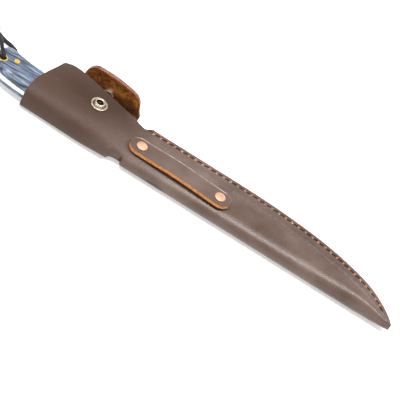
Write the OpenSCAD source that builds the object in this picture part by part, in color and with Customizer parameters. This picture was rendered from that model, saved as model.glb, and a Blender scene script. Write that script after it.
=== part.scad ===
// Hori hori knife in a folded leather sheath with a snap flap.
// Millimetres. +X runs from the handle's butt to the sheath's tip, +Y from the fold to the stitched seam,
// +Z out of the front panel. The origin is on the collar's flat back, under the axis of the snap stud.

/* [Sheath] */
// Length of the sheath from its mouth to its tip
sheath_len = 287; // [260:1:320]
// Distance from the mouth to the axis of the snap stud
stud_from_mouth = 44.5; // [40:0.5:50]
// Width of the blade section, from the fold to the seam edge
sheath_w = 40; // [38:0.5:44]
// Thickness of the leather
leather_t = 2.5; // [2:0.1:2.5]
// Height of the collar's front panel above its back
collar_h = 19.5; // [19.5:0.1:22]
// Height of the blade section at its crown
crown_h = 14.5; // [14.5:0.1:16]
// Length of the collar, from the mouth to where it starts to narrow
collar_len = 54; // [52:1:56]
// Thickness of the welt between the two panels
welt_t = 3.5; // [3:0.1:4]
// Width of the welt
welt_w = 5.5; // [5:0.1:6.5]
// Distance from the seam edge to the line of stitches
stitch_inset = 3.4; // [3:0.1:4]
// Distance between two stitches
stitch_pitch = 5.5; // [4.5:0.1:7]

/* [Flap] */
// Width of the flap along the sheath
flap_w = 44; // [40:1:46]
// Length of the flap's flat part, from its fold to its knee
flap_base = 23.7; // [23:0.1:25]
// Length of the flap's upright part
flap_rise = 25; // [22:0.5:27]
// Height of the snap socket's centre above the fold
socket_rise = 7; // [7:0.1:8]

/* [Belt strap] */
// Distance between the two rivets
rivet_gap = 61.5; // [55:0.5:65]
// Width of the strap
strap_w = 14.5; // [12:0.5:16]
// Thickness of the strap
strap_t = 2.4; // [2:0.1:2.6]
// Height of the strap's arch over the sheath
strap_arch = 1.8; // [1:0.1:3]

/* [Knife] */
// Thickness of the blade and tang
blade_t = 3.2; // [2.5:0.1:3.2]
// Height of the blade's middle plane above the back of the sheath
blade_z = 9.8; // [9.7:0.1:9.9]
// Width of the blade
blade_w = 24.6; // [23:0.2:24.6]
// Length of the blade in front of the handle
blade_len = 198; // [180:1:200]
// Length of the handle
handle_len = 100.5; // [98:0.5:104]
// Thickness of the handle over both scales
handle_t = 14; // [13:0.2:14]
// Height of the handle inside the collar
handle_h = 24; // [22:0.2:24]
// Diameter of the handle pins
pin_d = 4; // [3:0.1:5]
// Outer diameter of the lanyard tube
tube_d = 6.6; // [6:0.1:8]
// Bore of the lanyard tube
tube_bore = 5; // [4.4:0.1:5.6]
// Diameter of the lanyard cord
cord_d = 3; // [2.5:0.1:3.5]

/* [Hidden] */
$fn = 64;

mouth_x = -stud_from_mouth;
tip_x = mouth_x + sheath_len;
neck_x = mouth_x + collar_len;      // where the collar starts to narrow
waist_x = neck_x + 22;              // where the blade section starts
fold_y = -23.2;                     // outside of the fold
panel_edge_y = 3.8;                 // where the collar's rear panel gives way to the flap
wing_y = 4.8;                       // where the collar's front panel gives way to its soft wing
seam_rise = 3;                      // the back of the seam stands this high
seam_top = seam_rise + 2 * leather_t + welt_t;
curve_x = mouth_x + 125;            // where the seam starts to curve to the tip
tip_cut = 0.965;                    // the share of the curve that is built, which leaves a blunt tip

// Height of the front panel's outside along the sheath
function smooth(t) = let (u = max(0, min(1, t))) u * u * (3 - 2 * u);
function front_z(x) = collar_h + (crown_h - collar_h) * smooth((x - neck_x) / (waist_x - neck_x));
// The seam edge: straight, then a long curve down to the tip
function curve_u(x) = max(0, min(tip_cut, (x - curve_x) / (tip_x - curve_x) * tip_cut));
function edge_y(x) = fold_y + sheath_w * pow(1 - pow(curve_u(x), 3), 0.65);
function edge_slope(x) = (edge_y(x + 0.2) - edge_y(x - 0.2)) / 0.4;
function edge_normal(x) = let (s = edge_slope(x)) [s, -1] / sqrt(1 + s * s);
// A point inset from the seam edge, square to it
function inset(x, d) = [x, edge_y(x)] + d * edge_normal(x);

// Skins a list of rings, each a loop of the same number of points. The ends are closed by quads between
// the ring's first half and its second half, which suits a bent sheet's section and a plain one alike.
module loft(rings) {
    n = len(rings[0]);
    last = len(rings) - 1;
    polyhedron(
        points = [for (ring = rings) for (p = ring) p],
        faces = concat(
            [for (i = [0 : n / 2 - 2]) for (f = [[n - 1 - i, n - 2 - i, i + 1], [n - 1 - i, i + 1, i]]) f],
            [for (k = [0 : last - 1]) for (i = [0 : n - 1]) let (j = (i + 1) % n)
                for (f = [[k * n + i, k * n + j, (k + 1) * n + j], [k * n + i, (k + 1) * n + j, (k + 1) * n + i]]) f],
            [for (i = [0 : n / 2 - 2]) let (o = last * n)
                for (f = [[o + i, o + i + 1, o + n - 2 - i], [o + i, o + n - 2 - i, o + n - 1 - i]]) f]
        )
    );
}

// ---- sheath ----

// One section of the folded leather. It starts at the rear panel's edge, runs along the back, round the
// fold and over the front to the front panel's edge, at depth d under the outside.
corner_steps = 5;
function seam_flat(x) = min((welt_w + 1) * sqrt(1 + pow(edge_slope(x), 2)), half_w(x) * 0.35);
collar_end_x = neck_x + 17.5;       // the flap and the wing end here, and the seam starts
function is_collar(x) = x < collar_end_x;
function rear_end(x) = is_collar(x) ? panel_edge_y : edge_y(x);
function front_end(x) = is_collar(x) ? wing_y : edge_y(x);
function section_fold_z(x) = front_z(x) * 0.46;
function half_w(x) = (edge_y(x) - fold_y);
function skin(x, d) =
    let (
        top = front_z(x), mid = section_fold_z(x),
        room = min(8, half_w(x) * 0.35),
        slope_w = min(8, half_w(x) * 0.18),
        flat = seam_flat(x),
        rear = rear_end(x), front = front_end(x),
        lift = is_collar(x) ? 0 : seam_rise,
        drop = is_collar(x) ? top : seam_top,
        crown = is_collar(x) ? top : min(top, seam_top + half_w(x) * 0.12)
    )
    concat(
        [[rear, lift + d], [rear - flat, lift + d], [rear - flat - slope_w, d],
            [(rear - flat - slope_w + fold_y + room) / 2, d]],
        [for (i = [0 : corner_steps]) let (a = 90 * i / corner_steps)
            [fold_y + room - (room - d) * sin(a), mid - (mid - d) * cos(a)]],
        [for (i = [1 : corner_steps]) let (a = 90 * i / corner_steps)
            [fold_y + room - (room - d) * cos(a), mid + (crown - mid - d) * sin(a)]],
        [[(front - flat - slope_w + fold_y + room) / 2, crown - d], [front - flat - slope_w, crown - d],
            [front - flat, drop - d], [front, drop - d]]
    );
function body_ring(x) =
    let (outer = skin(x, 0), inner = skin(x, leather_t), n = len(inner))
    [for (p = concat(outer, [for (i = [n - 1 : -1 : 0]) inner[i]])) [x, p[0], p[1]]];
body_x = concat(
    [for (x = [mouth_x : 9 : neck_x]) x],
    [for (i = [1 : 6]) neck_x + (collar_end_x - 0.1 - neck_x) * i / 6],
    [collar_end_x + 0.1, (collar_end_x + waist_x) / 2],
    [for (x = [waist_x : 11.5 : curve_x - 3]) x],
    [for (i = [1 : 16]) curve_x + (tip_x - curve_x) * sin(90 * i / 16)]
);

module leather() { color([0.35, 0.26, 0.21]) children(); }

rivet_y = -10.1;                    // the first rivet, nearest the collar
rivet_x = mouth_x + 83.5;
strap_turn = -1.9;                  // the strap runs slightly towards the fold
module at_rivets() {
    for (s = [0, rivet_gap])
        translate([rivet_x, rivet_y, crown_h]) rotate([0, 0, strap_turn]) translate([s, 0, 0]) children();
}

post_d = 3.2;
base_d = 8;
base_t = 0.8;
module sheath_body() {
    leather() difference() {
        loft([for (x = body_x) body_ring(x)]);
        at_rivets() {
            translate([0, 0, -6]) cylinder(d = post_d, h = 12);
            translate([0, 0, -6]) cylinder(d = base_d, h = 6 - leather_t + base_t);
        }
        translate([0, 0, collar_h - 6]) cylinder(d = post_d, h = 12);
        translate([0, 0, collar_h - 6]) cylinder(d = base_d, h = 6 - leather_t + base_t);
        // Relief notch cut across the fold, where the collar ends
        translate([collar_end_x + 0.4, fold_y - 3.2, -1]) cylinder(r = 6.5, h = 30);
    }
}

// The front panel's free edge stands a little off the handle and ends in a rounded corner at the mouth
function wing_reach(x) =
    let (t = (x - mouth_x) / (collar_end_x - mouth_x), corner = 17)
    11.2 - 0.6 * t - 8 * pow(max(0, 1 - (x - mouth_x - 5) / corner), 2.2);
function wing_root_z(x) = front_z(x);
function wing_tip_z(x) = max(seam_top, front_z(x) + 3.2 - 8.5 * smooth((x - neck_x + 30) / 46));
wing_steps = 4;
function wing_line(x, d) = [for (i = [0 : wing_steps]) let (t = i / wing_steps)
    [wing_y + wing_reach(x) * t, wing_root_z(x) + (wing_tip_z(x) - wing_root_z(x)) * t * t - d]];
function wing_ring(x) =
    let (outer = wing_line(x, 0), inner = wing_line(x, leather_t), n = len(inner))
    [for (p = concat([for (i = [0 : n - 1]) inner[i]], [for (i = [n - 1 : -1 : 0]) outer[i]])) [x, p[0], p[1]]];
module collar_wing() {
    leather() loft([for (i = [0 : 16]) wing_ring(mouth_x + 5 + (collar_end_x - 0.6 - mouth_x - 5) * i / 16)]);
}

welt_start_x = waist_x + 1;
welt_end_x = tip_x - 0.5;
module welt() {
    n = 40;
    xs = [for (i = [0 : n]) welt_start_x + (welt_end_x - welt_start_x) * sin(90 * i / n)];
    color([0.75, 0.55, 0.38]) translate([0, 0, seam_rise + leather_t]) linear_extrude(welt_t)
        polygon(concat(
            [for (x = xs) [x, edge_y(x)]],
            [for (i = [n : -1 : 0]) let (x = xs[i]) [x, max(edge_y(x) - seam_flat(x) + 1, fold_y + leather_t + 1)]]
        ));
}

// Stitches lie along the seam, each one slanted across the line
stitch_w = 1.1;
stitch_h = 0.5;
stitch_len = 3.4;
stitch_slant = 12;
stitch_start_x = waist_x + 5;
stitch_end_x = tip_x - 9;
function arc_between(a, b) = norm(inset(b, stitch_inset) - inset(a, stitch_inset));
function stitch_walk(x) =
    x > stitch_end_x ? [] : concat([x], stitch_walk(x + stitch_pitch / sqrt(1 + pow(edge_slope(x), 2))));
module stitches(z) {
    for (x = stitch_walk(stitch_start_x)) {
        p = inset(x, stitch_inset);
        translate([p[0], p[1], z]) rotate([0, 0, atan(edge_slope(x)) + stitch_slant])
            translate([-stitch_len / 2, -stitch_w / 2, 0]) cube([stitch_len, stitch_w, stitch_h]);
    }
}
module needle_thread() { color([0.25, 0.17, 0.13]) stitches(seam_top); }
module bobbin_thread() { color([0.25, 0.17, 0.13]) stitches(seam_rise - stitch_h); }

// ---- belt strap ----

strap_overhang = 8.4;               // from a rivet to the strap's end
strap_len = rivet_gap + 2 * strap_overhang;
function arch_z(s) = strap_arch * pow(sin(max(0, min(180, 180 * (s - 4) / (rivet_gap - 8)))), 2);
module belt_strap() {
    n = 24;
    ss = [for (i = [0 : n]) -strap_overhang + strap_len * i / n];
    color([0.33, 0.25, 0.2]) translate([rivet_x, rivet_y, crown_h]) rotate([0, 0, strap_turn])
        difference() {
            intersection() {
                translate([0, strap_w / 2, 0]) rotate([90, 0, 0]) linear_extrude(strap_w)
                    polygon(concat([for (s = ss) [s, arch_z(s)]],
                        [for (i = [n : -1 : 0]) [ss[i], arch_z(ss[i]) + strap_t]]));
                translate([0, 0, -1]) linear_extrude(strap_arch + strap_t + 2) {
                    translate([-strap_overhang + strap_w / 2, -strap_w / 2])
                        square([strap_len - strap_w, strap_w]);
                    for (s = [-strap_overhang + strap_w / 2, rivet_gap + strap_overhang - strap_w / 2])
                        translate([s, 0]) circle(d = strap_w);
                }
            }
            for (s = [0, rivet_gap]) translate([s, 0, -1]) cylinder(d = post_d, h = strap_t + 3);
        }
}

cap_d = 7.8;
cap_h = 1.3;
module belt_rivet_caps() {
    color([0.86, 0.66, 0.52]) at_rivets() translate([0, 0, strap_t]) rotate_extrude()
        polygon([[0, 0], [cap_d / 2, 0], [cap_d / 2, 0.45], [cap_d / 2 - 0.5, 0.85], [cap_d / 2 - 1.2, 1.05],
            [cap_d / 2 - 1.9, cap_h], [0, cap_h]]);
}
module belt_rivet_posts() {
    color([0.8, 0.6, 0.45]) at_rivets() {
        translate([0, 0, -leather_t]) cylinder(d = post_d, h = leather_t + strap_t);
        translate([0, 0, -leather_t]) cylinder(d = base_d, h = base_t);
    }
}

// ---- snap ----

flange_d = 12;
flange_t = 0.9;
knob_d = 7.2;
knob_h = 2.6;
hollow_d = 4.4;
module snap_stud() {
    color([0.8, 0.78, 0.74]) translate([0, 0, collar_h]) rotate_extrude()
        polygon([[0, 0], [flange_d / 2 - 0.3, 0], [flange_d / 2, 0.3], [flange_d / 2 - 0.4, flange_t],
            [knob_d / 2 - 0.3, flange_t], [knob_d / 2 - 0.35, flange_t + 1.1],
            [knob_d / 2, flange_t + 1.7], [knob_d / 2 - 0.5, flange_t + knob_h],
            [hollow_d / 2, flange_t + knob_h], [hollow_d / 2, 0.6], [0, 0.6]]);
}
module snap_stud_eyelet() {
    color([0.8, 0.78, 0.74]) translate([0, 0, collar_h - leather_t]) {
        cylinder(d = post_d, h = leather_t);
        cylinder(d = base_d, h = base_t);
    }
}

// ---- flap ----

hinge_y = 5.3;
hinge_z = leather_t / 2;
knee_y = hinge_y + flap_base;
flap_x0 = mouth_x + 27;
flap_x1 = flap_x0 + flap_w;
// Middle line of the flap in (y, z): along the floor, round the knee, up, and curling forward at the top
knee_r = 2.2;
curl = 14;
curl_start = flap_rise * 0.55;
function flap_mid() = concat(
    [[hinge_y, hinge_z], [hinge_y + 8, hinge_z]],
    [for (i = [0 : 5]) let (a = 90 * i / 5)
        [knee_y - knee_r + knee_r * sin(a), hinge_z + knee_r - knee_r * cos(a)]],
    [[knee_y, hinge_z + curl_start]],
    [for (i = [1 : 5]) let (r = (flap_rise - curl_start) * i / 5, a = curl * i / 5)
        [knee_y - r * sin(a / 2), hinge_z + curl_start + r * cos(a / 2)]]
);
function line_normal(p, i) =
    let (a = p[max(0, i - 1)], b = p[min(len(p) - 1, i + 1)], t = (b - a) / norm(b - a)) [-t[1], t[0]];
module flap() {
    mid = flap_mid();
    n = len(mid);
    side = [for (i = [0 : n - 1]) mid[i] + line_normal(mid, i) * leather_t / 2];
    other = [for (i = [n - 1 : -1 : 0]) mid[i] - line_normal(mid, i) * leather_t / 2];
    top_z = hinge_z + flap_rise;
    color([0.42, 0.27, 0.14]) difference() {
        intersection() {
            union() {
                translate([flap_x0, 0, 0]) rotate([90, 0, 90]) linear_extrude(flap_w)
                    polygon(concat(side, other));
                translate([flap_x0, hinge_y, hinge_z]) rotate([0, 90, 0]) cylinder(d = leather_t, h = flap_w);
            }
            // The outline from the front: rounded corners, lower on the side of the tip
            translate([0, 60, 0]) rotate([90, 0, 0]) linear_extrude(80) polygon(concat(
                [[flap_x0, -1], [flap_x1, -1], [flap_x1, top_z - 12]],
                [for (a = [0 : 15 : 90]) [flap_x1 - 3 - 6 + 6 * cos(a), top_z - 12 + 6 * sin(a)]],
                [for (a = [90 : 15 : 180]) [flap_x0 + 8 + 6 * cos(a), top_z - 6 + 6 * sin(a)]],
                [[flap_x0 + 0.5, top_z - 12]]
            ));
        }
        translate([0, knee_y, hinge_z + socket_rise]) rotate([90, 0, 0])
            cylinder(d = post_d, h = 20, center = true);
    }
}

cap_side_d = 12.6;
socket_d = 9;
socket_t = 3.2;
socket_bore = 7.4;
spring_wire = 0.5;
module at_socket() {
    translate([0, knee_y, hinge_z + socket_rise]) rotate([90, 0, 0]) children();
}
module snap_cap() {
    color([0.72, 0.7, 0.66]) at_socket() {
        translate([0, 0, -leather_t / 2]) rotate_extrude()
            polygon([[0, 0], [cap_side_d / 2, 0], [cap_side_d / 2, -0.5], [cap_side_d / 2 - 0.8, -1.1],
                [cap_side_d / 2 - 2.4, -1.7], [0, -2]]);
        translate([0, 0, -leather_t / 2]) cylinder(d = post_d, h = leather_t);
    }
}
module snap_socket() {
    color([0.72, 0.7, 0.66]) at_socket() translate([0, 0, leather_t / 2]) rotate_extrude()
        polygon([[0, 0], [socket_d / 2, 0], [socket_d / 2, 0.6], [socket_d / 2 - 0.3, socket_t - 0.3],
            [socket_d / 2 - 0.6, socket_t], [socket_bore / 2, socket_t], [socket_bore / 2, 0.8], [0, 0.8]]);
}
module snap_spring() {
    color([0.6, 0.6, 0.62]) at_socket() translate([0, 0, leather_t / 2 + 1.8]) rotate_extrude()
        translate([socket_bore / 2 - spring_wire / 2, 0]) circle(d = spring_wire, $fn = 24);
}

// ---- knife ----

handle_x1 = mouth_x + 70;           // front of the scales
handle_x0 = handle_x1 - handle_len; // the butt
belly_y = -19.6;
mid_y = belly_y + handle_h / 2;
// The handle is straight in the collar and curves up towards its round butt
function handle_mid(x) = mid_y + 0.0052 * pow(max(0, mouth_x + 4 - x), 2);
butt_r = 11;
function butt_cut(x) = let (u = max(0, min(1, (handle_x0 + butt_r - x) / butt_r))) sqrt(max(0.001, 1 - pow(u, 2.6)));
function handle_half(x) =
    (handle_h / 2 + 0.35 * smooth((mouth_x + 4 - x) / 24) - 1.8 * smooth((x - handle_x1 + 18) / 16)) * max(0.16, butt_cut(x));
handle_x = concat(
    [for (i = [0 : 9]) handle_x0 + butt_r * (1 - cos(90 * i / 9))],
    [for (x = [handle_x0 + butt_r + 6 : 7 : handle_x1 - 20]) x],
    [handle_x1 - 18, handle_x1 - 12, handle_x1 - 6, handle_x1]
);
scale_t = (handle_t - blade_t) / 2;
function scale_depth(x) =
    scale_t * min(1 - 0.26 * pow(max(0, (handle_x0 + 6 - x) / 6), 2), 1 - 0.78 * smooth((x - handle_x1 + 21) / 22));
edge_steps = 6;
// A scale's section: flat on the tang, with rounded outer edges
function scale_ring(x) =
    let (h = handle_half(x), t = scale_depth(x), r = min(6, h * 0.8), c = handle_mid(x))
    concat(
        [for (i = [0 : edge_steps]) let (a = 90 * i / edge_steps) [x, c - h + r - r * cos(a), t * (0.25 + 0.75 * sin(a))]],
        [for (i = [0 : edge_steps]) let (a = 90 * i / edge_steps) [x, c + h - r + r * sin(a), t * (0.25 + 0.75 * cos(a))]],
        [[x, c + h, 0], [x, c - h, 0]]
    );

tube_x = mouth_x - 25.5;
tube_y = -7.3;
pins = [[mouth_x - 16.5, -3.3], [mouth_x + 18, -8.1], [mouth_x + 44, -8.1]];
module handle_holes() {
    for (p = pins) translate([p[0], p[1], 0]) cylinder(d = pin_d, h = 60, center = true);
    translate([tube_x, tube_y, 0]) cylinder(d = tube_d, h = 60, center = true);
}
module scale() {
    color([0.45, 0.51, 0.6]) difference() {
        loft([for (x = handle_x) scale_ring(x)]);
        handle_holes();
    }
}
module scale_front() { translate([0, 0, blade_z + blade_t / 2]) scale(); }
module scale_rear() { translate([0, 0, blade_z - blade_t / 2]) mirror([0, 0, 1]) scale(); }

blade_y0 = -18.4;
blade_tip_x = handle_x1 + blade_len;
tooth_pitch = 6;
tooth_depth = 1.6;
tooth_count = 22;
tooth_x0 = handle_x1 + 30;
point_x = blade_tip_x - 125;        // where the cutting edge starts to curve to the point
function cutting_y(x) = blade_y0 + blade_w * pow(1 - pow(max(0, (x - point_x) / (blade_tip_x - point_x)), 2.2), 0.75);
module blade() {
    n = 22;
    bevel_w = 5;
    edge_t = 0.6;
    half_t = blade_t / 2;
    y1 = blade_y0 + blade_w;
    color([0.82, 0.83, 0.84]) translate([0, 0, blade_z]) difference() {
        union() {
            translate([0, 0, -half_t]) linear_extrude(blade_t)
                polygon(concat(
                    [for (x = handle_x) [x, handle_mid(x) - handle_half(x)]],
                    [[handle_x1 + 4, handle_mid(handle_x1) - 8], [handle_x1 + 4, handle_mid(handle_x1) + 8]],
                    [for (i = [len(handle_x) - 1 : -1 : 0]) let (x = handle_x[i]) [x, handle_mid(x) + handle_half(x)]]
                ));
            intersection() {
                translate([0, 0, -half_t]) linear_extrude(blade_t)
                    polygon(concat(
                        [[handle_x1 + 2, blade_y0 + 4], [handle_x1 + 5, blade_y0]],
                        [for (i = [0 : tooth_count - 1]) for (q = [[0, 0], [0.35, 1]])
                            [tooth_x0 + (i + q[0]) * tooth_pitch, blade_y0 + q[1] * tooth_depth]],
                        [[tooth_x0 + tooth_count * tooth_pitch, blade_y0], [blade_tip_x - 4, blade_y0]],
                        [for (i = [n : -1 : 0]) let (x = point_x + (blade_tip_x - point_x) * sin(90 * i / n))
                            [x, cutting_y(x)]],
                        [[handle_x1 + 5, y1], [handle_x1 + 2, y1 - 4]]
                    ));
                translate([handle_x1, 0, 0]) rotate([90, 0, 90]) linear_extrude(blade_len + 1)
                    polygon([[blade_y0, -edge_t / 2], [blade_y0 + bevel_w, -half_t], [y1 - bevel_w, -half_t],
                        [y1, -edge_t / 2], [y1, edge_t / 2], [y1 - bevel_w, half_t],
                        [blade_y0 + bevel_w, half_t], [blade_y0, edge_t / 2]]);
            }
        }
        handle_holes();
    }
}

module handle_pins() {
    color([0.87, 0.72, 0.36]) for (p = pins)
        translate([p[0], p[1], blade_z - handle_t / 2]) cylinder(d = pin_d, h = handle_t);
}
module lanyard_tube() {
    color([0.87, 0.72, 0.36]) translate([tube_x, tube_y, blade_z - handle_t / 2]) difference() {
        cylinder(d = tube_d, h = handle_t);
        translate([0, 0, -1]) cylinder(d = tube_bore, h = handle_t + 2);
    }
}

// ---- lanyard ----

// Route of the cord's middle line: up out of the tube's front mouth, over the butt to the knot, round the
// loop on the floor, through the knot again, and under the butt into the tube's rear mouth
cord_route = [
    [-69.7, -8, 11], [-69.7, -8, 14], [-70, -7.3, 17], [-71, -6.4, 18.8], [-72.6, -4.6, 19.4], [-74.9, -0.8, 18.7],
    [-77.6, 5.6, 16.6], [-80.5, 12.5, 12.8], [-84, 18.7, 8.2], [-87.3, 22.7, 5.2], [-90.6, 24.6, 4.4],
    [-95, 25.8, 3.2], [-101.5, 25.2, 1.8], [-109, 22.8, 1.6], [-117.5, 21.4, 1.6], [-125.5, 23.8, 1.6],
    [-130.5, 29.8, 1.6], [-130.3, 37.2, 1.6], [-125, 42.6, 1.6], [-117, 43.6, 1.6], [-109, 40.6, 1.6],
    [-101.5, 35.8, 1.8], [-95.3, 31, 3.2], [-89.4, 28, 4.4], [-84.3, 26.6, 3], [-78.8, 25.2, 1.7],
    [-73, 24, 1.6], [-68, 21.6, 1.6], [-65.2, 17, 1.6], [-64.7, 10.5, 1.6], [-65.6, 3.5, 1.6],
    [-67.6, -2, 1.7], [-69.3, -5.2, 2.7], [-69.8, -7.2, 5], [-69.8, -8, 9]
];
cord_sides = 8;
function cord_dir(p, i) = let (d = p[min(len(p) - 1, i + 1)] - p[max(0, i - 1)]) d / norm(d);
function cord_side(p, i) =
    i == 0 ? [1, 0, 0] :
    let (before = cord_side(p, i - 1), t = cord_dir(p, i), s = before - t * (before * t)) s / norm(s);
module lanyard_cord() {
    color([0.13, 0.14, 0.16]) loft([for (i = [0 : len(cord_route) - 1])
        let (t = cord_dir(cord_route, i), s = cord_side(cord_route, i), u = cross(t, s))
        [for (k = [0 : cord_sides - 1]) let (a = 360 * k / cord_sides)
            cord_route[i] + cord_d / 2 * (s * cos(a) + u * sin(a))]]);
}
knot_at = [-90, 26.1, 4.5];
knot_len = 11;
module lanyard_knot() {
    color([0.13, 0.14, 0.16]) translate(knot_at) rotate([0, 0, 158]) rotate([0, 90, 0])
        rotate_extrude() polygon([for (i = [0 : 12]) let (a = -90 + 15 * i) [4.1 * cos(a), knot_len / 2 * sin(a)]]);
}

blade();
scale_front();
scale_rear();
handle_pins();
lanyard_tube();
lanyard_cord();
lanyard_knot();
sheath_body();
collar_wing();
welt();
needle_thread();
bobbin_thread();
belt_strap();
belt_rivet_caps();
belt_rivet_posts();
snap_stud();
snap_stud_eyelet();
flap();
snap_cap();
snap_socket();
snap_spring();
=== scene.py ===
"""Hori hori knife in a folded leather sheath: the looks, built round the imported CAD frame.

Shapes are worked out in millimetres in the CAD's frame: +X butt to tip, +Y fold to seam, +Z out of the
front panel, and the origin on the collar's back under the snap stud. Meshes are written in metres.
"""
import math
import random

import bmesh
import bpy
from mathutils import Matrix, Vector, noise


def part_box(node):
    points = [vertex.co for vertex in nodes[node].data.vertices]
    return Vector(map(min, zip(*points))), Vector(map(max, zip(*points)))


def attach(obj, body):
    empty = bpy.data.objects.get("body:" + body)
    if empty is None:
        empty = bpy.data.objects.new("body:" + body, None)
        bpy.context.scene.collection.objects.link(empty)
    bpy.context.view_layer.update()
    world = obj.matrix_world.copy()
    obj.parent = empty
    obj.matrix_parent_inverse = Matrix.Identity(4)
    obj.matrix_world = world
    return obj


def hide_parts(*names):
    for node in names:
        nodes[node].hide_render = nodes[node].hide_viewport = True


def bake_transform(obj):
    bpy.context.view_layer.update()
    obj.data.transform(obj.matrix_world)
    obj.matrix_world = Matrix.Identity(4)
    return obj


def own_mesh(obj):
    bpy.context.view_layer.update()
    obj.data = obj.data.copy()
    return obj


MM = 0.001
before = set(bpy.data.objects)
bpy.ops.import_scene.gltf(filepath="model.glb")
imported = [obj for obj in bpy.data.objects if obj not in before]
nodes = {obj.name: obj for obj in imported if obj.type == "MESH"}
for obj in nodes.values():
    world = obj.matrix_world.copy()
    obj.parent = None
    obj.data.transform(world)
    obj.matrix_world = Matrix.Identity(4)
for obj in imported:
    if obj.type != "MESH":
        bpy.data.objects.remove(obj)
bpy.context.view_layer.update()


def corners(node):
    """A CAD node's lowest and highest corner, in millimetres."""
    lo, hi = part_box(node)
    return [v / MM for v in lo], [v / MM for v in hi]


# ---------------------------------------------------------------- driving dimensions, from the frame
(MOUTH_X, FOLD_Y, _), (TIP_X, SEAM_Y, COLLAR_Z) = corners("sheath_body")
LEATHER = 2.5
CROWN_Z = 14.5
SEAM_RISE = 3.0
SEAM_TOP = corners("needle_thread")[0][2]
NECK_X = MOUTH_X + 54
WAIST_X = NECK_X + 22
COLLAR_END_X = NECK_X + 17.5
CURVE_X = MOUTH_X + 125
TIP_SHORT = 1.8                     # the leather ends this far short of the CAD tip
POINT_X = TIP_X - TIP_SHORT
CURVE_END_X = POINT_X + 0.5
KNEE_Y = sum(c[1] for c in corners("snap_socket")) / 2 + LEATHER / 2 + 1.6
STITCH_INSET = 3.4
STITCH_PITCH = 5.5
RIVET_X = MOUTH_X + 83.5
RIVET_Y = -10.1
RIVET_GAP = 61.5
STRAP_TURN = math.radians(-1.9)
CORD_D = 3.0
BLADE_TOP = corners("blade")[1][2]
BLADE_ROOM = 0.3                    # the lining's clearance over the blade
THIN_LEATHER = 0.9                  # the least the leather is pressed down to over the blade
FLAP_ROOT_Y = 3.8


# ---------------------------------------------------------------- small helpers
def smooth(t):
    t = max(0.0, min(1.0, t))
    return t * t * (3 - 2 * t)


def lerp(a, b, t):
    return a + (b - a) * t


def along(points, x):
    """A smooth curve through a short list of (x, value) design points."""
    if x <= points[0][0]:
        return points[0][1]
    for i, ((x0, v0), (x1, v1)) in enumerate(zip(points, points[1:])):
        if x <= x1:
            xa, va = points[max(0, i - 1)]
            xb, vb = points[min(len(points) - 1, i + 2)]
            step, t = x1 - x0, (x - x0) / (x1 - x0)
            m0, m1 = (v1 - va) / (x1 - xa) * step, (vb - v0) / (xb - x0) * step
            return ((2 * t ** 3 - 3 * t ** 2 + 1) * v0 + (t ** 3 - 2 * t ** 2 + t) * m0
                    + (3 * t ** 2 - 2 * t ** 3) * v1 + (t ** 3 - t ** 2) * m1)
    return points[-1][1]


def wobble(x, y, z, size, seed=0.0):
    """Smooth noise from -1 to 1 that changes over about size millimetres."""
    return noise.noise(Vector((x / size + seed, y / size - seed, z / size + 3 * seed)))


def make_mesh(name, points, faces, face_mats, mats, body, slot, stands_for=(), sharp=35):
    """A smooth-shaded piece from points in millimetres, riding on a body."""
    mesh = bpy.data.meshes.new(name)
    mesh.from_pydata([(p[0] * MM, p[1] * MM, p[2] * MM) for p in points], [], faces)
    for material in mats:
        mesh.materials.append(material)
    mesh.polygons.foreach_set("material_index", face_mats)
    mesh.polygons.foreach_set("use_smooth", [True] * len(faces))
    mesh.validate()
    mesh.update()
    if sharp:
        mesh.set_sharp_from_angle(angle=math.radians(sharp))
    piece = bpy.data.objects.new(name, mesh)
    bpy.context.scene.collection.objects.link(piece)
    if stands_for:
        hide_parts(*stands_for)
    if body:
        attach(piece, body)
    return piece


def loft(rings, ring_mats=None, cap_mat=0):
    """Points, faces and face materials of a closed skin over rings of equal count."""
    n = len(rings[0])
    points = [p for ring in rings for p in ring]
    faces, mats = [], []
    for k in range(len(rings) - 1):
        for i in range(n):
            j = (i + 1) % n
            faces.append((k * n + i, k * n + j, (k + 1) * n + j, (k + 1) * n + i))
            mats.append(ring_mats[i] if ring_mats else 0)
    last = (len(rings) - 1) * n
    faces.append(tuple(range(n - 1, -1, -1)))
    faces.append(tuple(range(last, last + n)))
    mats += [cap_mat, cap_mat]
    return points, faces, mats


def joined(parts):
    """Several (points, faces, face materials) as one."""
    points, faces, mats = [], [], []
    for part_points, part_faces, part_mats in parts:
        base = len(points)
        points += part_points
        faces += [tuple(base + v for v in face) for face in part_faces]
        mats += part_mats
    return points, faces, mats


def shell(outer, inner, mats):
    """Closes two grids of points, outer[i][j] and inner[i][j], into one sheet with cut edges.
    mats = (outer, inner, the edges' outer half, the edges' inner half)."""
    rows, cols = len(outer), len(outer[0])
    rim = ([(0, j) for j in range(cols)] + [(i, cols - 1) for i in range(1, rows)]
           + [(rows - 1, j) for j in range(cols - 2, -1, -1)] + [(i, 0) for i in range(rows - 2, 0, -1)])
    points = [p for row in outer for p in row] + [p for row in inner for p in row]
    points += [tuple(lerp(a, b, 0.6) for a, b in zip(outer[i][j], inner[i][j])) for i, j in rim]
    low, mid = rows * cols, 2 * rows * cols
    faces, face_mats = [], []
    for i in range(rows - 1):
        for j in range(cols - 1):
            a, b, c, d = i * cols + j, (i + 1) * cols + j, (i + 1) * cols + j + 1, i * cols + j + 1
            faces += [(a, b, c, d), (low + a, low + d, low + c, low + b)]
            face_mats += [mats[0], mats[1]]
    for k, (i, j) in enumerate(rim):
        n = (k + 1) % len(rim)
        here, there = i * cols + j, rim[n][0] * cols + rim[n][1]
        faces += [(here, there, mid + n, mid + k), (mid + k, mid + n, low + there, low + here)]
        face_mats += [mats[2], mats[3]]
    return points, faces, face_mats


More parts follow.
